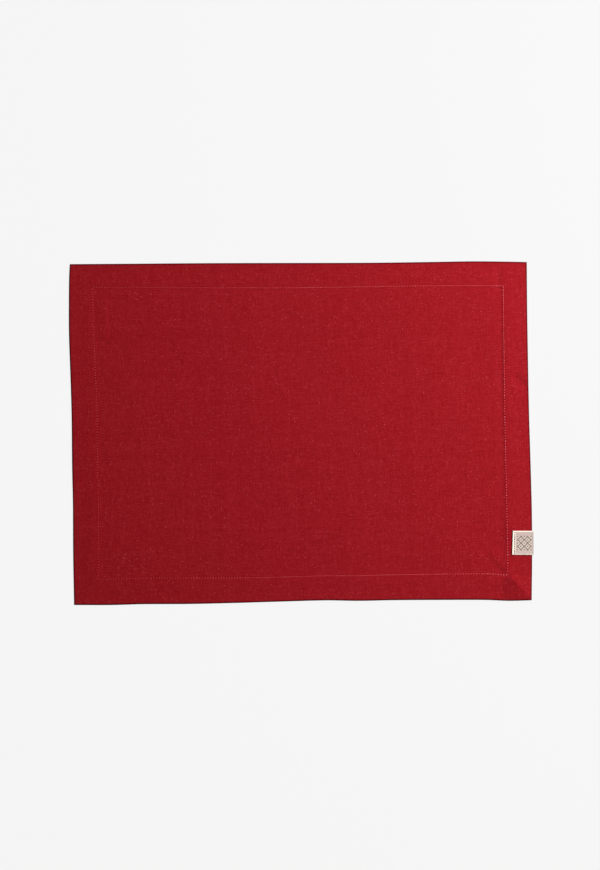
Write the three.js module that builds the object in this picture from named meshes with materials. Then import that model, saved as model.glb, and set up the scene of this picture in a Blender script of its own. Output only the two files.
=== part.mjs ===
// A hemmed linen placemat lying flat, with a short woven label folded over its right-hand hem.
// Millimetres, +Z up. The origin is in the middle of the mat, on the surface it lies on. +X runs along the
// mat to its right side and +Y to its back, so the front edge is the one nearest the person who sits there.
import * as THREE from "three";

// The mat as it was sewn: a true rectangle, before it was laid down by hand.
const MAT_LENGTH = 500;
const MAT_WIDTH = 370;
const STITCH_INSET = 26.5; // outer fold to the row of stitches
const HEM_INSET = 28.5; // outer fold to the hem's turned-in edge, under the cloth
const SETTLED_INSET = 38; // outer fold to where the single cloth has come down to the surface
const FIELD_THICK = 1.1; // the single cloth inside the hem
const HEM_THICK = 1.8; // the cloth and the hem folded under it
const LEAST_THICK = 1; // what a crease leaves of the cloth
const MITRE_GROOVE = 0.3; // where the folded corners meet, under the cloth

// The corners of the mat as it lies: a little out of square.
const CORNERS = {
  frontLeft: { x: -247.7, y: -188.3 },
  frontRight: { x: 252.9, y: -183.1 },
  backRight: { x: 247.5, y: 186.9 },
  backLeft: { x: -252.4, y: 184.6 },
};

// How far each outer fold strays outwards from a straight line between its corners.
// along runs from 0 to 1, left to right on the front and back, front to back on the left and right.
const FOLD_LINES = {
  front: [
    { along: 0, out: 0 },
    { along: 0.08, out: 0.45 },
    { along: 0.15, out: -0.1 },
    { along: 0.25, out: 0.18 },
    { along: 0.35, out: -0.4 },
    { along: 0.45, out: -1.4 },
    { along: 0.55, out: -2.2 },
    { along: 0.62, out: -1.35 },
    { along: 0.7, out: -1.65 },
    { along: 0.8, out: -1.4 },
    { along: 0.9, out: -0.85 },
    { along: 0.95, out: 0.36 },
    { along: 1, out: 0 },
  ],
  back: [
    { along: 0, out: 0 },
    { along: 0.1, out: 0.1 },
    { along: 0.3, out: 0.37 },
    { along: 0.5, out: 0.16 },
    { along: 0.6, out: 0 },
    { along: 0.7, out: 0.1 },
    { along: 0.8, out: 0.6 },
    { along: 0.88, out: 1.05 },
    { along: 0.95, out: 0.62 },
    { along: 1, out: 0 },
  ],
  left: [
    { along: 0, out: 0 },
    { along: 0.15, out: 0.3 },
    { along: 0.3, out: -0.1 },
    { along: 0.4, out: 0.25 },
    { along: 0.55, out: 0.1 },
    { along: 0.65, out: 0.65 },
    { along: 0.8, out: 1.85 },
    { along: 0.9, out: 1.45 },
    { along: 0.96, out: 0.9 },
    { along: 1, out: 0 },
  ],
  right: [
    { along: 0, out: 0 },
    { along: 0.05, out: 0.4 },
    { along: 0.1, out: 0.95 },
    { along: 0.25, out: 1.6 },
    { along: 0.35, out: 1.25 },
    { along: 0.45, out: 0.7 },
    { along: 0.55, out: 0.1 },
    { along: 0.7, out: -0.2 },
    { along: 0.85, out: -0.3 },
    { along: 1, out: 0 },
  ],
};

// How far in from the outer fold the stitches really run on each side: the hem was turned by eye.
const STITCH_LINES = {
  front: [
    { along: 0, inset: 27.4 },
    { along: 0.21, inset: 28.3 },
    { along: 0.45, inset: 26.8 },
    { along: 0.7, inset: 27.9 },
    { along: 0.9, inset: 28.6 },
    { along: 1, inset: 27.6 },
  ],
  back: [
    { along: 0, inset: 25.4 },
    { along: 0.46, inset: 27.3 },
    { along: 0.71, inset: 26.1 },
    { along: 0.92, inset: 26.7 },
    { along: 1, inset: 26.2 },
  ],
  left: [
    { along: 0, inset: 27.2 },
    { along: 0.2, inset: 27.8 },
    { along: 0.69, inset: 27.5 },
    { along: 0.92, inset: 26 },
    { along: 1, inset: 25.8 },
  ],
  right: [
    { along: 0, inset: 26.4 },
    { along: 0.12, inset: 26.8 },
    { along: 0.3, inset: 27.4 },
    { along: 0.8, inset: 26.1 },
    { along: 1, inset: 26.1 },
  ],
};

// The section across a hem, from the outer fold inwards: the height of the upper face and of the underside.
const HEM_SECTION = [
  { inset: 0, top: 1.05, under: 0.7 },
  { inset: 0.5, top: 1.5, under: 0.2 },
  { inset: 1.6, top: HEM_THICK - 0.05, under: 0 },
  { inset: 8, top: HEM_THICK, under: 0 },
  { inset: 17, top: HEM_THICK - 0.15, under: 0 },
  { inset: 23, top: HEM_THICK, under: 0 },
  { inset: STITCH_INSET, top: HEM_THICK - 0.3, under: 0 },
  { inset: HEM_INSET - 0.5, top: HEM_THICK - 0.1, under: 0 },
  { inset: HEM_INSET, top: HEM_THICK - 0.15, under: 0.6 },
  { inset: 33, top: 1.35, under: 0.2 },
  { inset: SETTLED_INSET, top: FIELD_THICK, under: 0 },
];

// Creases and dents in the upper face: soft troughs between two points, or ridges where sink is negative.
const CREASES = [
  // the mitre's fold at the front right corner, and the slack cloth beside it
  { fromX: 227, fromY: -155, toX: 243, toY: -173, halfWidth: 5, sink: 0.45 },
  { fromX: 228, fromY: -163, toX: 234, toY: -176, halfWidth: 9, sink: 0.5 },
  // the pull in the cloth that leads to that corner
  { fromX: 202, fromY: -128, toX: 220, toY: -158, halfWidth: 9, sink: 0.1 },
  // a pinch in the right-hand hem
  { fromX: 235, fromY: 63, toX: 248, toY: 52, halfWidth: 7, sink: 0.4 },
  // the right-hand seam's trough, running on through the back hem
  { fromX: 218, fromY: 161, toX: 218, toY: 178, halfWidth: 6, sink: 0.35 },
  // slack in the left-hand seam, where its stitches jog
  { fromX: -212, fromY: 102, toX: -212, toY: 127, halfWidth: 10, sink: -0.3 },
];

// The label: tape folded over the hem, its two cut ends inside the edge.
const LABEL_WIDTH = 26.4; // along the mat's edge
const LABEL_MIDDLE_Y = -120.2;
const LABEL_END_X = 231.8; // the cut ends
const LABEL_NOSE_X = 255; // the fold, a little proud of the hem
const LABEL_THICK = 1;
const LABEL_CLEARANCE = 0.35; // between the tape and the hem
const LABEL_OUT_OF_SQUARE = 0.4; // how far the cut ends lean at each side of the tape
const LABEL_FOLD_STEPS = 10;
const LIFT_EASE = 18; // the hem comes back down to the surface this far from the label

// How closely the cloth is divided.
const FOLD_STATIONS = [0, 0.5, 1.6]; // round the outer fold
const SEAM_STATIONS = [24, STITCH_INSET, HEM_INSET - 0.5, HEM_INSET, 33, SETTLED_INSET];
const HEM_STATIONS = [...FOLD_STATIONS, 5, 9, 13, 17, 21, ...SEAM_STATIONS];
const FIELD_STEP = 28;
const LIFT_ROWS = [1.5, 6, 12, LIFT_EASE]; // extra rows beside the label, by their distance from it
const PINCH_ROWS_Y = [46, 53, 58, 63, 70]; // extra rows for the pinch in the right-hand hem

const LINEN = { color: 0x991b26, roughness: 0.92, metalness: 0 };
const TAPE = { color: 0xcdbfae, roughness: 0.85, metalness: 0 };

// The value of a table's column between its rows, along a smooth curve.
function smoothValue(rows, position, column, at) {
  let i = 0;
  while (i < rows.length - 2 && at > rows[i + 1][position]) i += 1;
  const slope = (k) => {
    const before = rows[Math.max(k - 1, 0)];
    const after = rows[Math.min(k + 1, rows.length - 1)];
    return (after[column] - before[column]) / (after[position] - before[position]);
  };
  const span = rows[i + 1][position] - rows[i][position];
  const t = (at - rows[i][position]) / span;
  const rise = t * t * (3 - 2 * t);
  const leave = t * (1 - t) * (1 - t) * span * slope(i);
  const arrive = t * t * (t - 1) * span * slope(i + 1);
  return rows[i][column] * (1 - rise) + rows[i + 1][column] * rise + leave + arrive;
}

// The value of a table's column between its rows, along straight lines, and level past its last row.
function straightValue(rows, position, column, at) {
  const last = rows[rows.length - 1];
  if (at >= last[position]) return last[column];
  let i = 0;
  while (at > rows[i + 1][position]) i += 1;
  const t = (at - rows[i][position]) / (rows[i + 1][position] - rows[i][position]);
  return THREE.MathUtils.lerp(rows[i][column], rows[i + 1][column], t);
}

// A length across the sewn mat, moved so that the stitch rows lie where they were really sewn.
function movedToStitches(distance, whole, startInset, endInset) {
  const rows = [
    { sewn: 0, laid: 0 },
    { sewn: STITCH_INSET, laid: startInset },
    { sewn: whole - STITCH_INSET, laid: whole - endInset },
    { sewn: whole, laid: whole },
  ];
  return straightValue(rows, "sewn", "laid", distance);
}

// Where a point of the sewn mat, across from its left side and up from its front side, lies on the surface.
function laidOut(across, up) {
  const alongX = across / MAT_LENGTH;
  const alongY = up / MAT_WIDTH;
  const insetAt = (side, along) => smoothValue(STITCH_LINES[side], "along", "inset", along);
  const outAt = (side, along) => smoothValue(FOLD_LINES[side], "along", "out", along);
  const laidAcross = movedToStitches(across, MAT_LENGTH, insetAt("left", alongY), insetAt("right", alongY));
  const laidUp = movedToStitches(up, MAT_WIDTH, insetAt("front", alongX), insetAt("back", alongX));
  const u = laidAcross / MAT_LENGTH;
  const v = laidUp / MAT_WIDTH;
  const mix = (axis) => {
    const front = THREE.MathUtils.lerp(CORNERS.frontLeft[axis], CORNERS.frontRight[axis], u);
    const back = THREE.MathUtils.lerp(CORNERS.backLeft[axis], CORNERS.backRight[axis], u);
    return THREE.MathUtils.lerp(front, back, v);
  };
  return {
    x: mix("x") + u * outAt("right", v) - (1 - u) * outAt("left", v),
    y: mix("y") + v * outAt("back", u) - (1 - v) * outAt("front", u),
  };
}

// How far the hem is lifted by the label's lower leg, which lies between it and the surface.
function labelLift(x, y) {
  const sideways = Math.abs(y - LABEL_MIDDLE_Y) - LABEL_WIDTH / 2 - 1;
  const inwards = LABEL_END_X - 1 - x;
  const held = (gone) => 1 - THREE.MathUtils.smoothstep(gone, 0, LIFT_EASE);
  return (LABEL_THICK + LABEL_CLEARANCE) * held(sideways) * held(inwards);
}

// How far the upper face sinks into the creases at a point.
function creaseSink(x, y) {
  let sink = 0;
  for (const crease of CREASES) {
    const from = new THREE.Vector3(crease.fromX, crease.fromY, 0);
    const to = new THREE.Vector3(crease.toX, crease.toY, 0);
    const point = new THREE.Vector3(x, y, 0);
    const nearest = new THREE.Line3(from, to).closestPointToPoint(point, true, new THREE.Vector3());
    const share = Math.min(nearest.distanceTo(point) / crease.halfWidth, 1);
    sink += crease.sink * (1 - share * share) ** 2;
  }
  return sink;
}

// Dividing lines across one direction of the mat: close in the hems, wide in the field.
function stations(whole, extra) {
  const fieldCount = Math.round((whole - 2 * SETTLED_INSET) / FIELD_STEP);
  const fieldStep = (whole - 2 * SETTLED_INSET) / fieldCount;
  const field = [];
  for (let i = 1; i < fieldCount; i += 1) field.push(SETTLED_INSET + i * fieldStep);
  const spread = field.filter((at) => extra.every((other) => Math.abs(other - at) > 5));
  const far = HEM_STATIONS.map((inset) => whole - inset);
  const all = [...HEM_STATIONS, ...spread, ...extra, ...far];
  return all.sort((a, b) => a - b);
}

// The mat: an upper face and an underside on the same dividing lines, closed round the outer fold.
function matGeometry() {
  const columns = stations(MAT_LENGTH, []);
  const labelFront = LABEL_MIDDLE_Y - LABEL_WIDTH / 2;
  const labelBack = LABEL_MIDDLE_Y + LABEL_WIDTH / 2;
  const besideLabel = LIFT_ROWS.flatMap((gone) => [labelFront - gone, labelBack + gone]);
  const extraRowsY = [...besideLabel, ...PINCH_ROWS_Y];
  const rows = stations(MAT_WIDTH, extraRowsY.map((y) => y - CORNERS.frontRight.y));
  const points = [];
  const addFace = (isTop) => {
    for (const up of rows) {
      for (const across of columns) {
        const { x, y } = laidOut(across, up);
        const sideInset = Math.min(across, MAT_LENGTH - across);
        const endInset = Math.min(up, MAT_WIDTH - up);
        const inset = Math.min(sideInset, endInset);
        const onMitre = sideInset === endInset && inset > 0 && inset < HEM_INSET;
        const top = straightValue(HEM_SECTION, "inset", "top", inset);
        const under = straightValue(HEM_SECTION, "inset", "under", inset) + (onMitre ? MITRE_GROOVE : 0);
        const spare = Math.max(top - under - LEAST_THICK, 0);
        const sunk = top - Math.min(creaseSink(x, y), spare);
        points.push(x, y, (isTop ? sunk : under) + labelLift(x, y));
      }
    }
  };
  addFace(true);
  addFace(false);

  const across = columns.length;
  const up = rows.length;
  const topAt = (i, j) => j * across + i;
  const underAt = (i, j) => across * up + j * across + i;
  const faces = [];
  for (let j = 0; j < up - 1; j += 1) {
    for (let i = 0; i < across - 1; i += 1) {
      // Each cell is split towards the nearest corner, so the mitres run along edges.
      const leansRight = i < across / 2 === j < up / 2;
      const cell = [[i, j], [i + 1, j], [i + 1, j + 1], [i, j + 1]];
      const order = leansRight ? [0, 1, 2, 0, 2, 3] : [0, 1, 3, 1, 2, 3];
      const top = order.map((k) => topAt(...cell[k]));
      const under = order.map((k) => underAt(...cell[k])).reverse();
      faces.push(...top, ...under);
    }
  }
  // The rim, all round: out along the front, up the right, back along the back and down the left.
  const rim = [];
  for (let i = 0; i < across - 1; i += 1) rim.push([i, 0]);
  for (let j = 0; j < up - 1; j += 1) rim.push([across - 1, j]);
  for (let i = across - 1; i > 0; i -= 1) rim.push([i, up - 1]);
  for (let j = up - 1; j > 0; j -= 1) rim.push([0, j]);
  rim.forEach((here, k) => {
    const next = rim[(k + 1) % rim.length];
    faces.push(underAt(...here), underAt(...next), topAt(...next));
    faces.push(underAt(...here), topAt(...next), topAt(...here));
  });

  const geometry = new THREE.BufferGeometry();
  geometry.setAttribute("position", new THREE.Float32BufferAttribute(points, 3));
  geometry.setIndex(faces);
  geometry.computeVertexNormals();
  return geometry;
}

// The label: one U of tape around the hem, drawn from the side and as wide as the tape.
function labelGeometry() {
  const slot = HEM_THICK + 2 * LABEL_CLEARANCE; // between the two legs
  const outerRadius = slot / 2 + LABEL_THICK;
  const innerRadius = slot / 2;
  const height = 2 * outerRadius;
  const foldX = LABEL_NOSE_X - outerRadius;
  const side = new THREE.Shape();
  side.moveTo(LABEL_END_X, 0);
  side.lineTo(foldX, 0);
  side.absarc(foldX, outerRadius, outerRadius, -Math.PI / 2, Math.PI / 2, false);
  side.lineTo(LABEL_END_X, height);
  side.lineTo(LABEL_END_X, height - LABEL_THICK);
  side.lineTo(foldX, height - LABEL_THICK);
  side.absarc(foldX, outerRadius, innerRadius, Math.PI / 2, -Math.PI / 2, true);
  side.lineTo(LABEL_END_X, LABEL_THICK);
  side.closePath();
  const tape = new THREE.ExtrudeGeometry(side, {
    depth: LABEL_WIDTH,
    bevelEnabled: false,
    curveSegments: LABEL_FOLD_STEPS,
  });
  // The section is drawn in x and y and extruded along z: stand it up, so that the width runs along -y.
  tape.rotateX(Math.PI / 2);
  tape.translate(0, LABEL_WIDTH / 2, 0);
  const place = tape.getAttribute("position");
  for (let i = 0; i < place.count; i += 1) {
    const towardsEnds = THREE.MathUtils.clamp((foldX - place.getX(i)) / (foldX - LABEL_END_X), 0, 1);
    const lean = LABEL_OUT_OF_SQUARE * towardsEnds * (place.getY(i) / (LABEL_WIDTH / 2));
    place.setX(i, place.getX(i) + lean);
  }
  return tape;
}

const placemat = new THREE.Group();

const mat = new THREE.Mesh(matGeometry(), new THREE.MeshStandardMaterial(LINEN));
mat.name = "mat";
placemat.add(mat);

const label = new THREE.Mesh(labelGeometry(), new THREE.MeshStandardMaterial(TAPE));
label.name = "label";
label.position.y = LABEL_MIDDLE_Y;
placemat.add(label);

export default placemat;
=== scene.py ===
# A red linen placemat with a deep mitred hem, and a cream tape label folded over its right-hand side.
# The CAD frame is in metres: +X runs to the mat's right side, +Y to its back, and it lies on z = 0.
import math

import bpy
import numpy as np
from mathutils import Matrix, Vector, noise


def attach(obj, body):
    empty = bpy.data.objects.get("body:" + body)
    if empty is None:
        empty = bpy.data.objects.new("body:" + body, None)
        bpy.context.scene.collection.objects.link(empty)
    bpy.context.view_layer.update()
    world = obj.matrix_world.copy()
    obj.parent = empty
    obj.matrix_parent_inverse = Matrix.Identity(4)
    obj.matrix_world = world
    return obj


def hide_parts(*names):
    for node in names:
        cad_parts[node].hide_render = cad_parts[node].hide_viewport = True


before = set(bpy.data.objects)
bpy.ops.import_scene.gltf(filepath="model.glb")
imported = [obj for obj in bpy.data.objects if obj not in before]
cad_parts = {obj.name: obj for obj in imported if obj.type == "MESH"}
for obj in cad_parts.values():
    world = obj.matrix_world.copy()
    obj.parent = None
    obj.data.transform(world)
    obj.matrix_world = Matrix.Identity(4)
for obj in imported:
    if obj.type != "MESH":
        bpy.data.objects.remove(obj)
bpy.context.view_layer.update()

MM = 0.001
view_layer = bpy.context.view_layer


# The view: straight down on the mat, as it was photographed, on a plain pale floor under soft light.
# The light is a large diffuser beyond the mat's right side, a little towards its back, in a pale room.
PHOTO_HEIGHT_PX = 870
PHOTO_MIDDLE_PX = (300, 435)
MAT_MIDDLE_PX = (300.5, 432.9)
MM_PER_PX = 1.094
CAMERA_HEIGHT = 2.2
SENSOR = 24
DIFFUSER_SIZE = 0.7
DIFFUSER_WATTS = 42
DIFFUSER_PLACE = (1.2, 0.6, 0.9)
FLOOR_SIZE = 12
FLOOR_DROP = 0.3 * MM  # just below the cloth, so that the two never share a plane


def new_object(name, data):
    """A new object in the scene, at the origin."""
    made = bpy.data.objects.new(name, data)
    bpy.context.scene.collection.objects.link(made)
    return made


camera = new_object("camera", bpy.data.cameras.new("camera"))
bpy.context.scene.camera = camera
camera.data.sensor_fit = "VERTICAL"
camera.data.sensor_height = SENSOR
camera.data.lens = SENSOR * CAMERA_HEIGHT / (PHOTO_HEIGHT_PX * MM_PER_PX * MM)
camera.location = (
    (PHOTO_MIDDLE_PX[0] - MAT_MIDDLE_PX[0]) * MM_PER_PX * MM,
    (MAT_MIDDLE_PX[1] - PHOTO_MIDDLE_PX[1]) * MM_PER_PX * MM,
    CAMERA_HEIGHT,
)

diffuser = new_object("diffuser", bpy.data.lights.new("diffuser", "AREA"))
diffuser.data.shape = "DISK"
diffuser.data.size = DIFFUSER_SIZE
diffuser.data.energy = DIFFUSER_WATTS
diffuser.location = DIFFUSER_PLACE
diffuser.rotation_euler = (-diffuser.location).to_track_quat("-Z", "Y").to_euler()


def add_node(tree, kind, inputs=None, **settings):
    """A new node. Its inputs get values, or links from sockets or from a node's first output."""
    node = tree.nodes.new(kind)
    for name, value in settings.items():
        setattr(node, name, value)
    for key, value in (inputs or {}).items():
        if isinstance(value, bpy.types.Node):
            value = value.outputs[0]
        if isinstance(value, bpy.types.NodeSocket):
            tree.links.new(value, node.inputs[key])
        else:
            node.inputs[key].default_value = value
    return node


def linear(hex_colour):
    """An sRGB hex colour as linear red, green, blue and alpha."""
    parts = [int(hex_colour[i : i + 2], 16) / 255 for i in (1, 3, 5)]
    return tuple(p / 12.92 if p <= 0.04045 else ((p + 0.055) / 1.055) ** 2.4 for p in parts) + (1,)


room = bpy.data.worlds.new("pale room")
bpy.context.scene.world = room
room.use_nodes = True
room.node_tree.nodes.clear()
glow = add_node(room.node_tree, "ShaderNodeBackground", {"Color": linear("#FFFFFF"), "Strength": 0.2})
add_node(room.node_tree, "ShaderNodeOutputWorld", {"Surface": glow})

bpy.context.scene.view_settings.view_transform = "Standard"

floor_mesh = bpy.data.meshes.new("floor")
reach = FLOOR_SIZE / 2
floor_corners = [(-reach, -reach), (reach, -reach), (reach, reach), (-reach, reach)]
floor_mesh.from_pydata([(x, y, -FLOOR_DROP) for x, y in floor_corners], [], [(0, 1, 2, 3)])
floor = new_object("floor", floor_mesh)


def new_material(name):
    """A new material and its node tree, cleared."""
    material = bpy.data.materials.new(name)
    material.use_nodes = True
    material.node_tree.nodes.clear()
    return material, material.node_tree


# White paper lit from below as well as above, so that it stays even: part glows, part takes the shadows.
paper, tree = new_material("backlit white paper")
matt = add_node(tree, "ShaderNodeBsdfDiffuse", {"Color": (0.03, 0.03, 0.03, 1)})
backlight = add_node(tree, "ShaderNodeEmission", {"Color": (1, 1, 1, 1), "Strength": 0.89})
both = add_node(tree, "ShaderNodeAddShader", {0: matt, 1: backlight})
add_node(tree, "ShaderNodeOutputMaterial", {"Surface": both})
floor_mesh.materials.append(paper)


# The cloth: one cut of plain-woven red linen. Each side is folded to the back with the raw edge turned in,
# the corners are mitred, and one row of lockstitch holds the hem. It was ironed flat and laid down by hand.
MAT_LENGTH = 500
MAT_WIDTH = 370
STITCH_INSET = 26.5
HEM_INSET = 27.8
TURN_IN = 11
SETTLED_INSET = 38
CLOTH_THICK = 0.45
CELL = 3.4
FINE_CELL = 1.7

# Where the corners lie, in millimetres.
FRONT_LEFT = (-247.7, -188.3)
FRONT_RIGHT = (252.9, -183.1)
BACK_LEFT = (-252.4, 184.6)
BACK_RIGHT = (247.5, 186.9)

# How far each outer fold strays outwards from a straight line: (share of the side, millimetres).
# The front and back run from left to right, the left and right from front to back.
FRONT_FOLD = [(0, 0), (0.08, 0.45), (0.15, -0.1), (0.25, 0.18), (0.35, -0.4), (0.45, -1.4), (0.55, -2.2),
              (0.62, -1.35), (0.7, -1.65), (0.8, -1.4), (0.9, -0.85), (0.95, 0.36), (1, 0)]
BACK_FOLD = [(0, 0), (0.1, 0.1), (0.3, 0.37), (0.5, 0.16), (0.6, 0), (0.7, 0.1), (0.8, 0.6),
             (0.88, 1.05), (0.95, 0.62), (1, 0)]
LEFT_FOLD = [(0, 0), (0.15, 0.3), (0.3, -0.1), (0.4, 0.25), (0.55, 0.1), (0.65, 0.65), (0.8, 1.85),
             (0.9, 1.45), (0.96, 0.9), (1, 0)]
RIGHT_FOLD = [(0, 0), (0.05, 0.4), (0.1, 0.95), (0.25, 1.6), (0.35, 1.25), (0.45, 0.7), (0.55, 0.1),
              (0.7, -0.2), (0.85, -0.3), (1, 0)]

# How far in from the fold each row of stitches was sewn: (share of the side, millimetres).
FRONT_STITCH = [(0, 27.4), (0.21, 28.3), (0.45, 26.8), (0.7, 27.9), (0.9, 28.6), (1, 27.6)]
BACK_STITCH = [(0, 25.4), (0.46, 27.3), (0.71, 26.1), (0.92, 26.7), (1, 26.2)]
LEFT_STITCH = [(0, 27.2), (0.2, 27.8), (0.69, 27.5), (0.92, 26), (1, 25.8)]
RIGHT_STITCH = [(0, 26.4), (0.12, 26.8), (0.3, 27.4), (0.8, 26.1), (1, 26.1)]

# The way of the cloth through the hem, from the field outwards, round the fold and back in underneath.
# Each row is (inset from the outer fold, height of the middle of the cloth), in millimetres. Inside the seam
# the height comes from the steps below.
INNER_INSETS = [SETTLED_INSET, 35.5, 33.5, 32, 30.8, 29.8, 29, 28.3, 27.7, 27.1]
OUTER_WAY = [(STITCH_INSET, 1.3), (25.8, 1.34), (25, 1.37), (23.6, 1.4), (21.5, 1.41), (19, 1.39),
             (16.6, 1.34), (14, 1.24), (11, 1.18), (8, 1.18), (5.4, 1.2), (3.4, 1.2), (2.1, 1.17), (1.3, 1.1)]
FOLD_MIDDLE = (0.66, 0.66)
FOLD_RADIUS = 0.43
UNDER_SEAM_HEIGHT = 0.36
UNDER_WAY = [(1.4, 0.24), (4, 0.23), (10, 0.23), (17, 0.23), (24.6, 0.24), (25.7, 0.27),
             (STITCH_INSET, UNDER_SEAM_HEIGHT), (HEM_INSET - 0.5, 0.27)]
TURN_MIDDLE = (HEM_INSET - 0.5, 0.52)
TURN_RADIUS = 0.25
TURNED_WAY = [(STITCH_INSET, 0.81), (24.8, 0.81), (21, 0.81), (HEM_INSET - TURN_IN, 0.8)]
# Just inside the seam the cloth steps down off the hem, at the front, right, back and left, more softly
# towards the front of the mat. The field then sinks slowly to the table.
SEAM_STEPS = (0.14, 0.75, 0.2, 0.22)
SEAM_STEP_WIDTHS = (8.5, 4.4)  # in the front of the mat and in its back
SEAM_STEP_CHANGE = (50, 230)  # between these distances from the front
SEAM_STEP_BLEND = 4  # how far a corner blends the steps of its two sides
FIELD_HEIGHT = 0.3
FIELD_SUNK_INSET = 140
MITRE_GROOVE = 0.2

# Soft creases: (from x, from y, to x, to y, width to its left, width to its right, how far it sinks), in
# millimetres. A narrow side is a steep one, and left and right are as one looks along it.
CREASES = [
    (208.5, -130, 226, -151, 14, 6.5, -0.8),  # the pull that leads to the front right corner
    (236, 62, 249, 50, 3, 11, 0.8),  # a pinch in the right-hand hem
    (218, 159, 218, 180, 10, 3, 0.55),  # the right-hand seam's trough, running on through the back hem
    (-213.5, 102, -213.5, 144, 14, 4, -0.36),  # the turned-in edge, wider here than further down
    (-222, 101, -213, 100.5, 3, 6, 0.5),  # and the dip where it narrows
    (8, -180, 8, -158, 8, 4, -0.15),  # a tuck that the iron left in the front hem
    (106, -142, 116, -142, 3, 5, 0.15),  # puckers by the front seam
    (-216, -149, -211, -153, 3, 5, 0.2),
]
# The press mark of the front right mitre, from the seam's corner to the mat's: the cloth rises to it from the
# front, steeply at first, and falls again more gently to the right.
PRESS_FROM = (226.5, -155)
PRESS_TO = (252.9, -183.1)
PRESS_RISE = 1.0
PRESS_REACH = (13, 30)  # how far its slopes run, to the front and to the right
PRESS_GROWS = (0, 14)  # along it, from the seam's corner
PRESS_FADES = 26  # from here to its end
PRESS_STEP = 0.3
PRESS_STEP_WIDTHS = (1, 9)  # to its right side and to its left
PRESS_STEP_FADES = (9, 22)
# Where the two meet, the front strip buckles up from a line that runs straight to the front.
BUCKLE_FROM = (224.5, -154.5)
BUCKLE_TO = (223.5, -180)
BUCKLE_RISE = 0.8
BUCKLE_SLOPE = (-3, 4)  # across it, where it rises, in millimetres to its right side
BUCKLE_REACH = 36
FIELD_SWELL = 0.16  # the ironed field still rises and falls this much
FIELD_SWELL_LENGTH = 34
SEAM_SWELL = 0.1
SEAM_SWELL_LENGTH = 9
SEAM_REACH = 7

LABEL_MIDDLE_Y = -120.2
LABEL_WIDTH = 26.3
LABEL_END_X = 231.5
LABEL_THICK = 0.4
LIFT_EASE = 16
LIFT_MARGIN = 0.5
LIFT_GAP = 0.06  # between the tape and the cloth on it
LEAST_HEIGHT = 0.25  # of the middle of the cloth, in the depth of a crease


def table_value(rows, at):
    """The value between a table's rows, along a smooth curve."""
    i = 0
    while i < len(rows) - 2 and at > rows[i + 1][0]:
        i += 1

    def slope(k):
        before = rows[max(k - 1, 0)]
        after = rows[min(k + 1, len(rows) - 1)]
        return (after[1] - before[1]) / (after[0] - before[0])

    span = rows[i + 1][0] - rows[i][0]
    t = (at - rows[i][0]) / span
    rise = t * t * (3 - 2 * t)
    leave = t * (1 - t) ** 2 * span * slope(i)
    arrive = t * t * (t - 1) * span * slope(i + 1)
    return rows[i][1] * (1 - rise) + rows[i + 1][1] * rise + leave + arrive


def smooth_step(value, low, high):
    """0 below low, 1 above high, eased in between."""
    t = min(max((value - low) / (high - low), 0), 1)
    return t * t * (3 - 2 * t)


def laid_out(across, up):
    """Where a point lies that is so far across and up from the sewn mat's front left corner."""
    along_x = min(max(across / MAT_LENGTH, 0), 1)
    along_y = min(max(up / MAT_WIDTH, 0), 1)
    left = table_value(LEFT_STITCH, along_y)
    right = MAT_LENGTH - table_value(RIGHT_STITCH, along_y)
    front = table_value(FRONT_STITCH, along_x)
    back = MAT_WIDTH - table_value(BACK_STITCH, along_x)
    sewn_x = (0, STITCH_INSET, MAT_LENGTH - STITCH_INSET, MAT_LENGTH)
    sewn_y = (0, STITCH_INSET, MAT_WIDTH - STITCH_INSET, MAT_WIDTH)
    u = float(np.interp(across, sewn_x, (0, left, right, MAT_LENGTH))) / MAT_LENGTH
    v = float(np.interp(up, sewn_y, (0, front, back, MAT_WIDTH))) / MAT_WIDTH
    place = []
    for axis in (0, 1):
        near = FRONT_LEFT[axis] * (1 - u) + FRONT_RIGHT[axis] * u
        far = BACK_LEFT[axis] * (1 - u) + BACK_RIGHT[axis] * u
        place.append(near * (1 - v) + far * v)
    x = place[0] + u * table_value(RIGHT_FOLD, v) - (1 - u) * table_value(LEFT_FOLD, v)
    y = place[1] + v * table_value(BACK_FOLD, u) - (1 - v) * table_value(FRONT_FOLD, u)
    return x, y


def label_lift(x, y):
    """How far the hem is raised where the label's lower leg lies under it, in millimetres."""
    sideways = 1 - smooth_step(abs(y - LABEL_MIDDLE_Y) - LABEL_WIDTH / 2 - LIFT_MARGIN, 0, LIFT_EASE)
    inwards = 1 - smooth_step(LABEL_END_X - LIFT_MARGIN - x, 0, LIFT_EASE)
    return (LABEL_THICK + LIFT_GAP) * sideways * inwards


def along_and_right(x, y, x0, y0, x1, y1):
    """How far along a line a point is, and how far to its right, in millimetres, with the line's length."""
    length = math.hypot(x1 - x0, y1 - y0)
    unit_x = (x1 - x0) / length
    unit_y = (y1 - y0) / length
    return (x - x0) * unit_x + (y - y0) * unit_y, (x - x0) * unit_y - (y - y0) * unit_x, length


def crease_sink(x, y):
    """How far the upper cloth sinks into its creases, in millimetres."""
    sink = 0
    for x0, y0, x1, y1, left_width, right_width, depth in CREASES:
        along, right, length = along_and_right(x, y, x0, y0, x1, y1)
        width = right_width if right > 0 else left_width
        past_end = max(-along, along - length, 0) / min(left_width, right_width, 4)
        away = math.hypot(right / width, past_end)
        if away < 1:
            sink += depth * (1 - away * away) ** 2
    return sink


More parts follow.
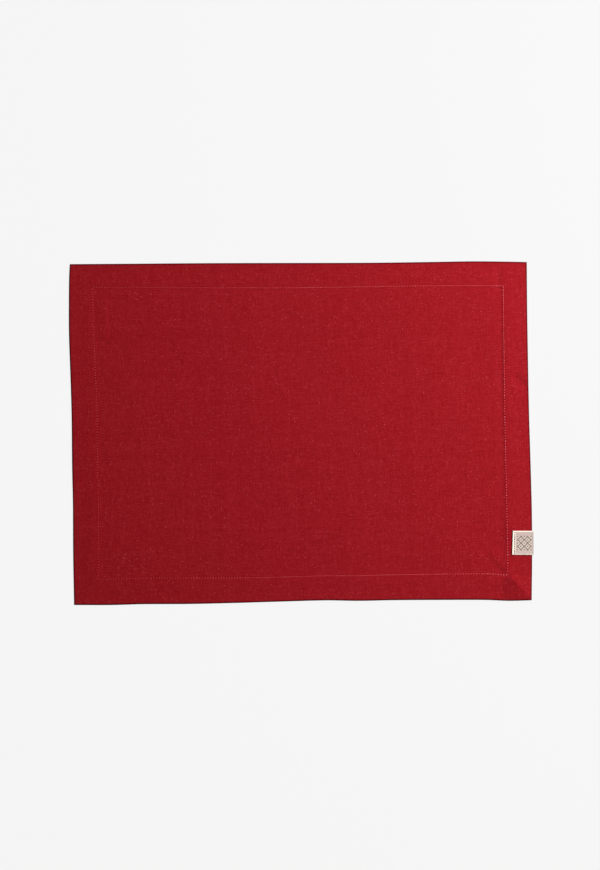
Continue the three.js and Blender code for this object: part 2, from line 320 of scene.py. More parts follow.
def press_rise(x, y):
    """How far the front right mitre's press mark lifts the upper cloth, in millimetres."""
    along, right, length = along_and_right(x, y, *PRESS_FROM, *PRESS_TO)
    slope = max(1 - right / PRESS_REACH[0], 0) if right > 0 else max(1 + right / PRESS_REACH[1], 0)
    slope *= smooth_step(along, *PRESS_GROWS) * (1 - smooth_step(along, PRESS_FADES, length))
    step = (1 - smooth_step(right, -0.1, 1)) * (1 - smooth_step(-right, *PRESS_STEP_WIDTHS))
    step *= smooth_step(along, 0, 3) * (1 - smooth_step(along, *PRESS_STEP_FADES))
    along, right, length = along_and_right(x, y, *BUCKLE_FROM, *BUCKLE_TO)
    across = smooth_step(-right, *BUCKLE_SLOPE) * (1 - smooth_step(-right, BUCKLE_SLOPE[1], BUCKLE_REACH))
    lengthways = smooth_step(along, 0, 5) * (1 - smooth_step(along, length - 3, length + 4))
    return PRESS_RISE * slope + PRESS_STEP * step + BUCKLE_RISE * across * lengthways


def painted_corner_shade_share(x, y):
    """How much painted shade lies on the buckled corner of the front strip, from 0 to 1."""
    along, right, length = along_and_right(x, y, *PRESS_FROM, *PRESS_TO)
    east = -along_and_right(x, y, *BUCKLE_FROM, *BUCKLE_TO)[1]
    fade = 0.4 + 0.6 * smooth_step(y, PRESS_TO[1], PRESS_TO[1] + 12)
    return fade * smooth_step(right, -0.2, 0.8) * smooth_step(east, -3.5, -0.5) * smooth_step(along, -1, 2)


def upper_unevenness(x, y, inset):
    """The rise and fall of the upper cloth: long and soft in the field, short and puckered by the seam."""
    field = 0.5 + 0.5 * noise.noise(Vector((x, y, 3)) / FIELD_SWELL_LENGTH)
    field += 0.25 * noise.noise(Vector((x, y, 9)) / (0.4 * FIELD_SWELL_LENGTH))
    seam = noise.noise(Vector((x, y, 5)) / SEAM_SWELL_LENGTH)
    by_seam = math.exp(-(((inset - STITCH_INSET) / SEAM_REACH) ** 2))
    past_seam = smooth_step(inset, STITCH_INSET, SETTLED_INSET)
    return FIELD_SWELL * field * past_seam + SEAM_SWELL * seam * by_seam * (0.4 + 0.6 * past_seam)


def arc(middle, radius, steps):
    """A half circle outwards round a fold or a turn, from its top to its bottom, without its two ends."""
    turns = [math.pi * (i + 0.5) / steps for i in range(steps)]
    return [(middle[0] - radius * math.sin(a), middle[1] + radius * math.cos(a)) for a in turns]


# Every row of the hem in order: (inset, height). The turned-in edge is an arc the other way.
turn = [(2 * TURN_MIDDLE[0] - inset, height) for inset, height in reversed(arc(TURN_MIDDLE, TURN_RADIUS, 3))]
upper_way = [(inset, None) for inset in INNER_INSETS] + OUTER_WAY
upper_rows = len(upper_way)
way = upper_way + arc(FOLD_MIDDLE, FOLD_RADIUS, 5) + UNDER_WAY + turn + TURNED_WAY
upper_stitch_row = len(INNER_INSETS)
under_stitch_row = upper_rows + 5 + len(UNDER_WAY) - 2
# How much of the creases each row follows, and how far out of the settled line it lies along the cloth.
crease_share = [1] * upper_rows + [0.8, 0.6, 0.4, 0.2, 0.1] + [0] * (len(way) - upper_rows - 5)
run = [(inset, OUTER_WAY[0][1] if height is None else height) for inset, height in way]
past = np.concatenate(([0], np.cumsum([math.dist(a, b) for a, b in zip(run, run[1:])])))
out_of_fold = past - SETTLED_INSET

# Dividing lines, in millimetres from one settled line to the other: closest at the corners, for the mitres,
# and close again where a crease crosses the hem.
CORNER_LINES = [0, 0.5, 1.2, 2.2, 3.6, 5.4, 7.6, 10.2]
FINE_ZONES = {
    MAT_LENGTH: [(0, 26), (398, 424)],
    MAT_WIDTH: [(0, 22), (184, 206), (232, 250), (272, 294)],
}


def dividing_lines(whole):
    """Shares of a side at which the cloth is divided."""
    inner = whole - 2 * SETTLED_INSET
    lines = list(CORNER_LINES)
    while lines[-1] < inner - CORNER_LINES[-1] - FINE_CELL:
        fine = any(first <= lines[-1] < last for first, last in FINE_ZONES[whole])
        lines.append(lines[-1] + (FINE_CELL if fine else CELL))
    lines[-1] = inner - CORNER_LINES[-1]
    lines += [inner - line for line in reversed(CORNER_LINES[:-1])]
    return [line / inner for line in lines]


lines_x = dividing_lines(MAT_LENGTH)
lines_y = dividing_lines(MAT_WIDTH)
count_x = len(lines_x) - 1
count_y = len(lines_y) - 1
round_count = 2 * (count_x + count_y)


def on_ring(inset, step):
    """A point of a ring round the mat, by steps from the front left corner: (across, up, side, share)."""
    inner_x = MAT_LENGTH - 2 * inset
    inner_y = MAT_WIDTH - 2 * inset
    if step < count_x:
        share = lines_x[step]
        return inset + share * inner_x, inset, 0, share
    step -= count_x
    if step < count_y:
        share = lines_y[step]
        return MAT_LENGTH - inset, inset + share * inner_y, 1, share
    step -= count_y
    if step < count_x:
        share = lines_x[step]
        return MAT_LENGTH - inset - share * inner_x, MAT_WIDTH - inset, 2, share
    share = lines_y[step - count_x]
    return inset, MAT_WIDTH - inset - share * inner_y, 3, share


def inner_height(across, up):
    """The height of the middle of the cloth inside the seam, in millimetres."""
    insets = (up, MAT_LENGTH - across, MAT_WIDTH - up, across)
    nearest = min(insets)
    shares = [math.exp((nearest - inset) / SEAM_STEP_BLEND) for inset in insets]
    step = sum(share * step for share, step in zip(shares, SEAM_STEPS)) / sum(shares)
    front_width, back_width = SEAM_STEP_WIDTHS
    width = front_width + (back_width - front_width) * smooth_step(up, *SEAM_STEP_CHANGE)
    before = 1 - min((nearest - STITCH_INSET) / width, 1)
    stepped = OUTER_WAY[0][1] - step * (1 - before * before)
    return stepped + (FIELD_HEIGHT - stepped) * smooth_step(nearest, STITCH_INSET, FIELD_SUNK_INSET)


def cloth_point(across, up, inset, height=None, follows=1):
    """A point of the middle of the cloth, in metres. Without a height it is one inside the seam."""
    x, y = laid_out(across, up)
    if height is None:
        height = inner_height(across, up)
    z = height + label_lift(x, y)
    if follows:
        z -= min(follows * crease_sink(x, y), height - LEAST_HEIGHT)
        z += follows * (press_rise(x, y) + upper_unevenness(x, y, inset))
    return x * MM, y * MM, z * MM


points = []
# Painted shade for the buckled corner of the front strip, one value for each point.
painted_corner_shade = []
rings = []
for k, (inset, height) in enumerate(way):
    ring = []
    for step in range(round_count):
        across, up, side, share = on_ring(inset, step)
        x, y, z = cloth_point(across, up, inset, height, crease_share[k])
        # Under the mat the two folded edges of a mitre meet in a groove.
        if k > upper_rows + 4 and share == 0:
            z += MITRE_GROOVE * MM
        ring.append(len(points))
        points.append((x, y, z))
        painted_corner_shade.append(painted_corner_shade_share(x / MM, y / MM) if crease_share[k] else 0)
    rings.append(ring)

# The field inside the innermost ring, whose edge points are the ring's own.
field = {}
for i in range(count_x + 1):
    for j in range(count_y + 1):
        if j == 0:
            field[i, j] = rings[0][i]
        elif i == count_x:
            field[i, j] = rings[0][count_x + j]
        elif j == count_y:
            field[i, j] = rings[0][count_x + count_y + (count_x - i)]
        elif i == 0:
            field[i, j] = rings[0][2 * count_x + count_y + (count_y - j)]
        else:
            across = SETTLED_INSET + lines_x[i] * (MAT_LENGTH - 2 * SETTLED_INSET)
            up = SETTLED_INSET + lines_y[j] * (MAT_WIDTH - 2 * SETTLED_INSET)
            field[i, j] = len(points)
            points.append(cloth_point(across, up, SETTLED_INSET))
            painted_corner_shade.append(0)

faces = []
face_flat = []  # where each corner of a face lay in the flat cut, in metres, for the weave
face_seam = []  # (stitches along the side, millimetres in from the fold), for the puckers
STITCH_PITCH = 2.95

# How many stitches along its side each step of the seam is.
side_starts = [0, count_x, count_x + count_y, 2 * count_x + count_y, round_count]
seam_points = [points[i] for i in rings[upper_stitch_row]]
stitches_at = []
for first, last in zip(side_starts, side_starts[1:]):
    side_points = [seam_points[step % round_count] for step in range(first, last + 1)]
    run_along = np.cumsum([0] + [math.dist(a, b) for a, b in zip(side_points, side_points[1:])])
    stitches_at.append(run_along / run_along[-1] * round(run_along[-1] / (STITCH_PITCH * MM)))


def flat_place(side, along, out):
    """A place in the flat cut, along a side from its start and out from its fold, in metres."""
    if side == 0:
        return along * MM, -out * MM
    if side == 1:
        return (MAT_LENGTH + out) * MM, along * MM
    if side == 2:
        return (MAT_LENGTH - along) * MM, (MAT_WIDTH + out) * MM
    return -out * MM, (MAT_WIDTH - along) * MM


for i in range(count_x):
    for j in range(count_y):
        corners = [(i, j), (i + 1, j), (i + 1, j + 1), (i, j + 1)]
        faces.append([field[c] for c in corners])
        for ci, cj in corners:
            across = SETTLED_INSET + lines_x[ci] * (MAT_LENGTH - 2 * SETTLED_INSET)
            up = SETTLED_INSET + lines_y[cj] * (MAT_WIDTH - 2 * SETTLED_INSET)
            face_flat.append((across * MM, up * MM))
            face_seam.append((0, SETTLED_INSET))

for k in range(len(way) - 1):
    for step in range(round_count):
        after = (step + 1) % round_count
        faces.append([rings[k][step], rings[k + 1][step], rings[k + 1][after], rings[k][after]])
        side = on_ring(0, step)[2]
        whole = MAT_WIDTH if side % 2 else MAT_LENGTH
        side_lines = lines_y if side % 2 else lines_x
        start = on_ring(0, step)[3]
        end = side_lines[side_lines.index(start) + 1]
        place = step - side_starts[side]
        for ring_k, share, at in ((k, start, place), (k + 1, start, place), (k + 1, end, place + 1),
                                  (k, end, place + 1)):
            inset = way[ring_k][0]
            along = inset + share * (whole - 2 * inset)
            out = out_of_fold[ring_k]
            face_flat.append(flat_place(side, along, out))
            face_seam.append((stitches_at[side][at], inset))


def new_sheet(name, places, quads, uv_maps):
    """A sheet without thickness. Each of its UV maps has a pair for each corner of each face."""
    mesh = bpy.data.meshes.new(name)
    mesh.from_pydata(places, [], quads)
    for map_name, values in uv_maps.items():
        layer = mesh.uv_layers.new(name=map_name)
        layer.data.foreach_set("uv", np.array(values, dtype=np.float32).ravel())
    mesh.shade_smooth()
    return new_object(name, mesh)


cloth = new_sheet("linen_cloth", points, faces, {"cut": face_flat, "seam": face_seam})
# The painted corner shade is stored on the cloth's points.
cloth.data.attributes.new("painted_corner_shade", "FLOAT", "POINT").data.foreach_set("value", painted_corner_shade)


def made_plain(piece):
    """Turns a piece's modifiers into plain mesh."""
    view_layer.update()
    evaluated = piece.evaluated_get(bpy.context.evaluated_depsgraph_get())
    result = bpy.data.meshes.new_from_object(evaluated)
    result.name = piece.name
    piece.modifiers.clear()
    piece.data = result


def thicken(sheet, thickness, material):
    """Gives a sheet its thickness in millimetres, half to each side, and its material."""
    solid = sheet.modifiers.new("thickness", "SOLIDIFY")
    solid.thickness = thickness * MM
    solid.offset = 0
    made_plain(sheet)
    sheet.data.materials.clear()
    sheet.data.materials.append(material)


# Linen is spun from long, uneven flax: each yarn runs thick and thin and took the dye a little differently,
# so fine streaks show in both directions. It is matt, with a few short fibres that stayed pale.
LINEN_DARK = linear("#86060E")
LINEN_RED = linear("#A2161F")
LINEN_LIGHT = linear("#BA2E39")
# How much painted shade darkens the pits between the yarns, the buckled front right corner and the outer
# fold.
PIT_DARKENING = 0.6
CORNER_SHADE_DARKENING = 0.08
FOLD_DARKENING = 0.65
FLECK_PALE = linear("#DE5964")
FLECK_DARK = linear("#3C0206")
YARN_SPACING = 0.8  # real linen of this weight has about 0.6, which would be too fine to draw
YARN_RELIEF = 0.13
YARN_WANDER = 0.7
WANDER_PER_MM = 0.3
YARN_STRIDE = 7.31  # between the tones of one yarn and the next, so that they differ
STREAK_LENGTH = 15
YARN_DIP = 0.5
FIBRE_SIZE = (0.12, 2.5)
FIBRE_SHARE = 0.25
BAND_WIDTH = 11
BAND_SHARE = 0.12
SLUB_LENGTHS = (19, 5)  # a fleck's cell along its yarn and across it
SLUB_SIZE = 0.06  # of a fleck, as a share of its cell
FLECKS_KEPT = 0.4
FLECK_PATCH = (66, 43)  # a place in the cut where the flax was badly cleaned, with more and longer flecks
FLECK_PATCH_SIZE = (26, 14)
PATCH_SLUB_LENGTHS = (7, 2.6)
PATCH_SLUB_SIZE = 0.22
GRAIN_SHARE = 0.13  # how much of the tone each crossing has of its own
NEP_SHARE = 0.006  # one crossing in so many has a pale knot in its yarn, and as many are dark
# How much painted shade darkens the needle holes.
HOLE_DARKENING = 0.6
HOLE_REACH = (0.3, 0.7)  # where a needle hole begins to end and where it ends, across the seam
PUCKER_RELIEF = 0.12
PUCKER_REACH = 1.6

linen, tree = new_material("plain-woven linen")
cut = add_node(tree, "ShaderNodeUVMap", uv_map="cut")
cut_mm = add_node(tree, "ShaderNodeVectorMath", {0: cut, "Scale": 1 / MM}, operation="SCALE")
cut_parts = add_node(tree, "ShaderNodeSeparateXYZ", {0: cut_mm})

# The yarns of each direction: their number across, the wave over each one, and their tone along them.
yarn_waves = []
yarn_tones = []
yarn_numbers = []
for across_axis, along_axis in ((0, 1), (1, 0)):
    across_mm = cut_parts.outputs[across_axis]
    along_mm = cut_parts.outputs[along_axis]
    spread_at = add_node(tree, "ShaderNodeMath", {0: across_mm, 1: WANDER_PER_MM}, operation="MULTIPLY")
    spread = add_node(tree, "ShaderNodeTexNoise", {"W": spread_at, "Scale": 1.0}, noise_dimensions="1D")
    wandered = add_node(tree, "ShaderNodeMath",
                        {0: spread, 1: YARN_WANDER, 2: across_mm}, operation="MULTIPLY_ADD")
    counted = add_node(tree, "ShaderNodeMath", {0: wandered, 1: 1 / YARN_SPACING}, operation="MULTIPLY")
    turn_by = add_node(tree, "ShaderNodeMath", {0: counted, 1: math.pi}, operation="MULTIPLY")
    wave = add_node(tree, "ShaderNodeMath", {0: turn_by}, operation="SINE")
    yarn_waves.append(wave)
    number = add_node(tree, "ShaderNodeMath", {0: counted}, operation="FLOOR")
    yarn_numbers.append(number)
    own_place = add_node(tree, "ShaderNodeMath", {0: number, 1: YARN_STRIDE}, operation="MULTIPLY")
    along_streak = add_node(tree, "ShaderNodeMath",
                            {0: along_mm, 1: 1 / STREAK_LENGTH}, operation="MULTIPLY")
    tone_at = add_node(tree, "ShaderNodeCombineXYZ", {0: own_place, 1: along_streak})
    own_tone = add_node(tree, "ShaderNodeTexNoise",
                        {"Vector": tone_at, "Scale": 1.0, "Detail": 5.0, "Roughness": 0.75},
                        noise_dimensions="2D")
    band_at = add_node(tree, "ShaderNodeMath", {0: across_mm, 1: 1 / BAND_WIDTH}, operation="MULTIPLY")
    band = add_node(tree, "ShaderNodeTexNoise",
                    {"W": band_at, "Scale": 1.0, "Detail": 2.0}, noise_dimensions="1D")
    banded = add_node(tree, "ShaderNodeMix", {"Factor": BAND_SHARE, "A": own_tone, "B": band})
    fibre_across = add_node(tree, "ShaderNodeMath",
                            {0: across_mm, 1: 1 / FIBRE_SIZE[0]}, operation="MULTIPLY")
    fibre_along = add_node(tree, "ShaderNodeMath",
                           {0: along_mm, 1: 1 / FIBRE_SIZE[1]}, operation="MULTIPLY")
    fibre_at = add_node(tree, "ShaderNodeCombineXYZ", {0: fibre_across, 1: fibre_along})
    fibre = add_node(tree, "ShaderNodeTexNoise",
                     {"Vector": fibre_at, "Scale": 1.0}, noise_dimensions="2D")
    fibred = add_node(tree, "ShaderNodeMix", {"Factor": FIBRE_SHARE, "A": banded, "B": fibre})
    yarn_tones.append(fibred)

# Plain weave: each yarn rises and dips by turns along its length, and is round across it. The two directions
# take turns to lie on top, in oval crowns with small pits between their corners.
yarn_tops = []
for across, along, way_up in ((*yarn_waves, YARN_DIP), (*reversed(yarn_waves), -YARN_DIP)):
    rounded = add_node(tree, "ShaderNodeMath", {0: across}, operation="ABSOLUTE")
    by_turns = add_node(tree, "ShaderNodeMath", {0: across}, operation="SIGN")
    rising = add_node(tree, "ShaderNodeMath", {0: by_turns, 1: along}, operation="MULTIPLY")
    top = add_node(tree, "ShaderNodeMath", {0: rising, 1: way_up, 2: rounded}, operation="MULTIPLY_ADD")
    yarn_tops.append(top)
crown = add_node(tree, "ShaderNodeMath", {0: yarn_tops[0], 1: yarn_tops[1]}, operation="MAXIMUM")
difference = add_node(tree, "ShaderNodeMath", {0: yarn_tops[1], 1: yarn_tops[0]}, operation="SUBTRACT")
on_top = add_node(tree, "ShaderNodeMapRange", {"Value": difference, "From Min": -0.06, "From Max": 0.06})
yarn_tone = add_node(tree, "ShaderNodeMix", {"Factor": on_top, "A": yarn_tones[0], "B": yarn_tones[1]})
# Each crossing lies a little differently, and has a tone of its own.
numbered = add_node(tree, "ShaderNodeCombineXYZ", {0: yarn_numbers[0], 1: yarn_numbers[1]})
grain = add_node(tree, "ShaderNodeTexWhiteNoise", {"Vector": numbered}, noise_dimensions="2D")
grain_parts = add_node(tree, "ShaderNodeSeparateColor", {0: grain.outputs["Color"]})
top_tone = add_node(tree, "ShaderNodeMix",
                    {"Factor": GRAIN_SHARE, "A": yarn_tone, "B": grain.outputs["Value"]})
tone = add_node(tree, "ShaderNodeValToRGB", {"Fac": top_tone})
tone.color_ramp.elements[0].position = 0.25
tone.color_ramp.elements[0].color = LINEN_DARK
tone.color_ramp.elements[1].position = 0.75
tone.color_ramp.elements[1].color = LINEN_LIGHT
tone.color_ramp.elements.new(0.5).color = LINEN_RED

# Neps: small knots in the yarn at single crossings, some pale and some dark.
fleck_colour = tone
at_crossing = add_node(tree, "ShaderNodeMath", {0: yarn_waves[0], 1: yarn_waves[1]}, operation="MULTIPLY")
knot_shape = add_node(tree, "ShaderNodeMath", {0: at_crossing}, operation="ABSOLUTE")
for part, colour in ((1, FLECK_PALE), (2, FLECK_DARK)):
    nep = add_node(tree, "ShaderNodeMapRange",
                   {"Value": grain_parts.outputs[part], "From Min": 1 - NEP_SHARE,
                    "From Max": 1 - NEP_SHARE / 3})
    knot = add_node(tree, "ShaderNodeMath", {0: nep, 1: knot_shape}, operation="MULTIPLY")
    knotted = add_node(tree, "ShaderNodeMix",
                       {"Factor": knot, "A": fleck_colour, "B": colour}, data_type="RGBA")
    fleck_colour = knotted.outputs["Result"]

# The flecks: scattered short fibres, half of them along each direction, some pale and some dark.
from_patch = add_node(tree, "ShaderNodeVectorMath",
                      {0: cut_mm, 1: (*FLECK_PATCH, 0)}, operation="SUBTRACT")
in_patch = add_node(tree, "ShaderNodeVectorMath",
                    {0: from_patch, 1: (1 / FLECK_PATCH_SIZE[0], 1 / FLECK_PATCH_SIZE[1], 1)},
                    operation="MULTIPLY")
patch_reach = add_node(tree, "ShaderNodeVectorMath", {0: in_patch}, operation="LENGTH")
least_kept = add_node(tree, "ShaderNodeMapRange",
                      {"Value": patch_reach.outputs["Value"], "From Min": 0.6, "To Min": 0.3,
                       "To Max": 1.0})
for spacing, size, least in ((SLUB_LENGTHS, SLUB_SIZE, 1 - FLECKS_KEPT),
                             (SLUB_LENGTHS[::-1], SLUB_SIZE, 1 - FLECKS_KEPT),
                             (PATCH_SLUB_LENGTHS, PATCH_SLUB_SIZE, least_kept)):
    scattered = add_node(tree, "ShaderNodeMapping",
                         {"Vector": cut_mm, "Scale": (1 / spacing[0], 1 / spacing[1], 1)})
    cells = add_node(tree, "ShaderNodeTexVoronoi",
                     {"Vector": scattered, "Scale": 1.0}, voronoi_dimensions="2D")
    near = add_node(tree, "ShaderNodeMapRange",
                    {"Value": cells.outputs["Distance"], "From Min": size / 2, "From Max": size,
                     "To Min": 1.0, "To Max": 0.0})
    chosen = add_node(tree, "ShaderNodeSeparateColor", {0: cells.outputs["Color"]})
    kept = add_node(tree, "ShaderNodeMapRange",
                    {"Value": chosen.outputs[0], "From Min": least, "To Max": 0.6})
    pale = add_node(tree, "ShaderNodeMath", {0: chosen.outputs[1], 1: 0.35}, operation="GREATER_THAN")
    kind = add_node(tree, "ShaderNodeMix",
                    {"Factor": pale, "A": FLECK_DARK, "B": FLECK_PALE}, data_type="RGBA")
    amount = add_node(tree, "ShaderNodeMath", {0: near, 1: kept}, operation="MULTIPLY")
    mixed = add_node(tree, "ShaderNodeMix",
                     {"Factor": amount, "A": fleck_colour, "B": kind.outputs["Result"]}, data_type="RGBA")
    fleck_colour = mixed.outputs["Result"]

# Painted shade darkens it in the pits between the yarns, in the needle holes, on the buckled corner of the
# front strip, and along the outer fold, where little light reaches it.
pit_shade = add_node(tree, "ShaderNodeMapRange",
                     {"Value": crown, "From Min": 0.3, "From Max": 1.3, "To Min": 1 - PIT_DARKENING})
seam_place = add_node(tree, "ShaderNodeUVMap", uv_map="seam")
seam_parts = add_node(tree, "ShaderNodeSeparateXYZ", {0: seam_place})
fold_shade = add_node(tree, "ShaderNodeMapRange",
                      {"Value": seam_parts.outputs[1], "From Min": 0.9, "From Max": 1.9,
                       "To Min": 1 - FOLD_DARKENING, "To Max": 1.0})
# Along the seam the stitches draw it down, most of all at the needle holes.
off_seam = add_node(tree, "ShaderNodeMath",
                    {0: seam_parts.outputs[1], 1: STITCH_INSET}, operation="SUBTRACT")
by_seam = add_node(tree, "ShaderNodeMath", {0: off_seam}, operation="ABSOLUTE")
drawn_down = add_node(tree, "ShaderNodeMapRange",
                      {"Value": by_seam, "From Min": 0.2, "From Max": PUCKER_REACH, "To Min": 1.0,
                       "To Max": 0.0}, interpolation_type="SMOOTHSTEP")
stitch_turn = add_node(tree, "ShaderNodeMath",
                       {0: seam_parts.outputs[0], 1: 2 * math.pi}, operation="MULTIPLY")
at_hole = add_node(tree, "ShaderNodeMath", {0: stitch_turn}, operation="COSINE")
hole_pull = add_node(tree, "ShaderNodeMapRange", {"Value": at_hole, "From Min": -1.0, "To Max": -1.0})
# Painted shade in the needle holes along the seam.
hole_size = add_node(tree, "ShaderNodeMapRange",
                     {"Value": by_seam, "From Min": HOLE_REACH[0], "From Max": HOLE_REACH[1],
                      "To Min": 1.0, "To Max": 0.0})
hole_along = add_node(tree, "ShaderNodeMapRange", {"Value": at_hole, "From Min": 0.35, "From Max": 0.75})
hole = add_node(tree, "ShaderNodeMath", {0: hole_size, 1: hole_along}, operation="MULTIPLY")
hole_shade = add_node(tree, "ShaderNodeMapRange",
                      {"Value": hole, "To Min": 1.0, "To Max": 1 - HOLE_DARKENING})
# Painted shade on the buckled corner of the front strip, read from the points.
corner_shade_attribute = add_node(tree, "ShaderNodeAttribute", attribute_name="painted_corner_shade")
corner_shade_factor = add_node(tree, "ShaderNodeMapRange",
                       {"Value": corner_shade_attribute.outputs["Fac"], "To Min": 1.0,
                        "To Max": 1 - CORNER_SHADE_DARKENING})
shade = add_node(tree, "ShaderNodeMath", {0: pit_shade, 1: fold_shade}, operation="MULTIPLY")
for darker in (hole_shade, corner_shade_factor):
    shade = add_node(tree, "ShaderNodeMath", {0: shade, 1: darker}, operation="MULTIPLY")
shaded = add_node(tree, "ShaderNodeVectorMath", {0: fleck_colour, "Scale": shade}, operation="SCALE")
thickness_share = add_node(tree, "ShaderNodeMath", {0: top_tone, 1: 0.6}, operation="ADD")
yarn_height = add_node(tree, "ShaderNodeMath", {0: crown, 1: thickness_share}, operation="MULTIPLY")
weave_bump = add_node(tree, "ShaderNodeBump",
                      {"Height": yarn_height, "Distance": YARN_RELIEF * MM, "Strength": 1.0})
pucker = add_node(tree, "ShaderNodeMath", {0: hole_pull, 1: drawn_down}, operation="MULTIPLY")
pucker_bump = add_node(tree, "ShaderNodeBump",
                       {"Height": pucker, "Distance": PUCKER_RELIEF * MM, "Normal": weave_bump})
linen_shader = add_node(tree, "ShaderNodeBsdfPrincipled",
                        {"Base Color": shaded, "Roughness": 0.9, "Specular IOR Level": 0.06,
                         "Normal": pucker_bump})
add_node(tree, "ShaderNodeOutputMaterial", {"Surface": linen_shader})
thicken(cloth, CLOTH_THICK, linen)

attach(cloth, "root")
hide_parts("mat")


# The hem's lockstitch: one polyester thread on the face and one on the back, a little paler than the linen.
# It runs once round the mat just inside the turned-in edge, pivots at each corner and pulls into the cloth.
# The face thread is drawn a little thicker than sewing thread, so that its stitches show from far off.
THREAD_RADIUS = 0.32
STITCH_SHARE = 0.42  # of the pitch, between the needle holes
STITCH_RISE = 0.5
STITCH_SINK = 0.2
BACK_THREAD_RADIUS = 0.16
# The thread's tone runs from deep on the left to pale on the right, which is painted light, and its glints
# are painted highlights.
THREAD_DEEP = linear("#C42E39")
THREAD_PALE = linear("#FF4E5A")
THREAD_GLINT = linear("#FF7D88")
PLY_PER_MM = 0.6
THREAD_SIDES = 6
STITCH_STEPS = 5

stitching = bpy.data.node_groups.new("lockstitch row", "GeometryNodeTree")
stitching.interface.new_socket("Geometry", in_out="OUTPUT", socket_type="NodeSocketGeometry")
for name, kind in (("Geometry", "Geometry"), ("Pitch", "Float"), ("Thread Radius", "Float"),
                   ("Stitch Length", "Float"), ("Rise", "Float"), ("Sink", "Float"), ("Seed", "Int"),
                   ("Material", "Material")):
    stitching.interface.new_socket(name, in_out="INPUT", socket_type="NodeSocket" + kind)
given = add_node(stitching, "NodeGroupInput").outputs
seam_curve = add_node(stitching, "GeometryNodeMeshToCurve", {0: given["Geometry"]})
# Each row is shortened by half a stitch at both ends, and the stitches are spread along it by their middles.
seam_length = add_node(stitching, "GeometryNodeSplineLength")
stitch_count = add_node(stitching, "ShaderNodeMath",
                        {0: seam_length, 1: given["Pitch"]}, operation="DIVIDE")
whole_count = add_node(stitching, "ShaderNodeMath", {0: stitch_count}, operation="ROUND")
true_pitch = add_node(stitching, "ShaderNodeMath", {0: seam_length, 1: whole_count}, operation="DIVIDE")
half_pitch = add_node(stitching, "ShaderNodeMath", {0: true_pitch, 1: 0.5}, operation="MULTIPLY")
last_middle = add_node(stitching, "ShaderNodeMath", {0: seam_length, 1: half_pitch}, operation="SUBTRACT")
shortened = add_node(stitching, "GeometryNodeTrimCurve",
                     {0: seam_curve, 4: half_pitch, 5: last_middle}, mode="LENGTH")
gap_count = add_node(stitching, "ShaderNodeMath", {0: whole_count, 1: 1.0}, operation="ADD")
middles = add_node(stitching, "GeometryNodeResampleCurve",
                   {"Curve": shortened, "Count": gap_count}, mode="COUNT")
heading = add_node(stitching, "GeometryNodeInputTangent")
turned_along = add_node(stitching, "FunctionNodeAlignRotationToVector",
                        {"Vector": heading}, axis="X", pivot_axis="Z")
# One stitch: thread bowed up out of one hole and down into the next.
half_stitch = add_node(stitching, "ShaderNodeMath",
                       {0: given["Stitch Length"], 1: 0.5}, operation="MULTIPLY")
minus_half = add_node(stitching, "ShaderNodeMath", {0: half_stitch, 1: -1.0}, operation="MULTIPLY")
down = add_node(stitching, "ShaderNodeMath", {0: given["Sink"], 1: -1.0}, operation="MULTIPLY")
hole_one = add_node(stitching, "ShaderNodeCombineXYZ", {0: minus_half, 2: down})
hole_two = add_node(stitching, "ShaderNodeCombineXYZ", {0: half_stitch, 2: down})
bow = add_node(stitching, "ShaderNodeCombineXYZ", {2: given["Rise"]})
stitch_path = add_node(stitching, "GeometryNodeCurveQuadraticBezier",
                       {"Resolution": STITCH_STEPS, "Start": hole_one, "Middle": bow, "End": hole_two})
thread_round = add_node(stitching, "GeometryNodeCurvePrimitiveCircle",
                        {"Resolution": THREAD_SIDES, "Radius": given["Thread Radius"]})
one_stitch = add_node(stitching, "GeometryNodeCurveToMesh",
                      {"Curve": stitch_path, "Profile Curve": thread_round, "Fill Caps": True})
askew = add_node(stitching, "FunctionNodeRandomValue",
                 {0: (-0.04, -0.04, -0.05), 1: (0.04, 0.04, 0.11), "Seed": given["Seed"]},
                 data_type="FLOAT_VECTOR")
turned_askew = add_node(stitching, "FunctionNodeRotateRotation",
                        {"Rotation": turned_along, "Rotate By": askew}, rotation_space="LOCAL")
uneven = add_node(stitching, "FunctionNodeRandomValue",
                  {2: 0.86, 3: 1.06, "Seed": given["Seed"]}, data_type="FLOAT")
sewn = add_node(stitching, "GeometryNodeInstanceOnPoints",
                {"Points": middles, "Instance": one_stitch, "Rotation": turned_askew,
                 "Scale": uneven.outputs[1]})
realized = add_node(stitching, "GeometryNodeRealizeInstances", {0: sewn})
smoothed = add_node(stitching, "GeometryNodeSetShadeSmooth", {0: realized})
finished = add_node(stitching, "GeometryNodeSetMaterial", {0: smoothed, "Material": given["Material"]})
add_node(stitching, "NodeGroupOutput", {0: finished})


def sew(name, rows, material, pitch, share, thread_radius, rise, sink, seed):
    """Sews a piece of stitches along rows of points in metres. share is a stitch's part of the pitch."""
    path_points = [p for row in rows for p in row]
    edges = []
    start = 0
    for row in rows:
        edges += [(start + i, start + i + 1) for i in range(len(row) - 1)]
        start += len(row)
    mesh = bpy.data.meshes.new(name)
    mesh.from_pydata(path_points, edges, [])
    piece = new_object(name, mesh)
    modifier = piece.modifiers.new("stitches", "NODES")
    modifier.node_group = stitching
    values = {"Pitch": pitch * MM, "Thread Radius": thread_radius * MM, "Stitch Length": pitch * share * MM,
              "Rise": rise * MM, "Sink": sink * MM, "Seed": seed, "Material": material}
    for socket in stitching.interface.items_tree:
        if socket.name in values:
            modifier[socket.identifier] = values[socket.name]
    made_plain(piece)
    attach(piece, "root")
    return piece
